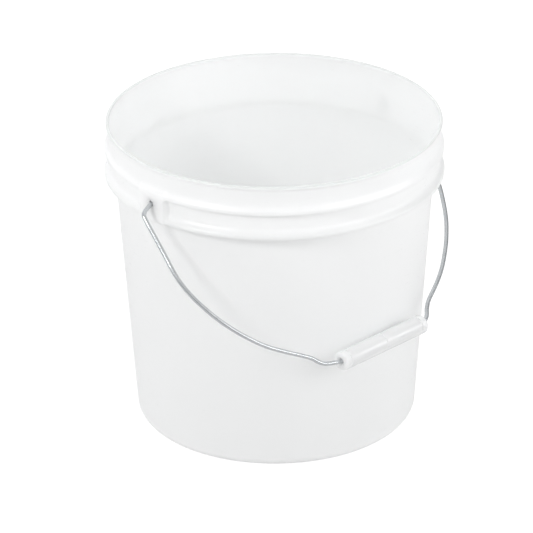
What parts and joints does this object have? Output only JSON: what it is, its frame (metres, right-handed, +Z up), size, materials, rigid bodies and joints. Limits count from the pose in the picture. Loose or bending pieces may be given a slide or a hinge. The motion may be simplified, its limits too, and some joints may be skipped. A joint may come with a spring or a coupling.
{
  "type": "plastic fermenting bucket",
  "caption": "Open white plastic fermenting bucket with ringed rim, moulded ears, a swinging wire bail and a plastic roller grip.",
  "frame": {"origin": "on the bucket's axis, in the plane that the foot ring stands on, 1.5 mm under the recessed base panel", "axes": "+Z up along the bucket's axis, X along the bail's pivot axis from ear to ear, the bail rests towards -Y"},
  "size_m": [0.2763, 0.2522, 0.2356],
  "materials": {
    "natural_white_plastic": "satin moulded polyethylene, slightly translucent",
    "galvanised_wire": "bright zinc plated drawn wire",
    "grip_white_plastic": "glossy translucent white moulded plastic"
  },
  "bodies": {
    "bucket_body": {"bucket": "natural_white_plastic"},
    "bail": {"bail_wire": "galvanised_wire"},
    "grip_roller": {"grip": "grip_white_plastic"}
  },
  "joints": [
    {"name": "bail_hinge", "type": "hinge", "parent": "bucket_body", "child": "bail", "pos_m": [0, 0, 0.208], "axis": [-1, 0, 0], "range_deg": [0, 266.4]},
    {"name": "grip_roll", "type": "hinge", "parent": "bail", "child": "grip_roller", "pos_m": [-0.0104, -0.11933, 0.09594], "axis": [1, 0, 0], "continuous": true}
  ]
}
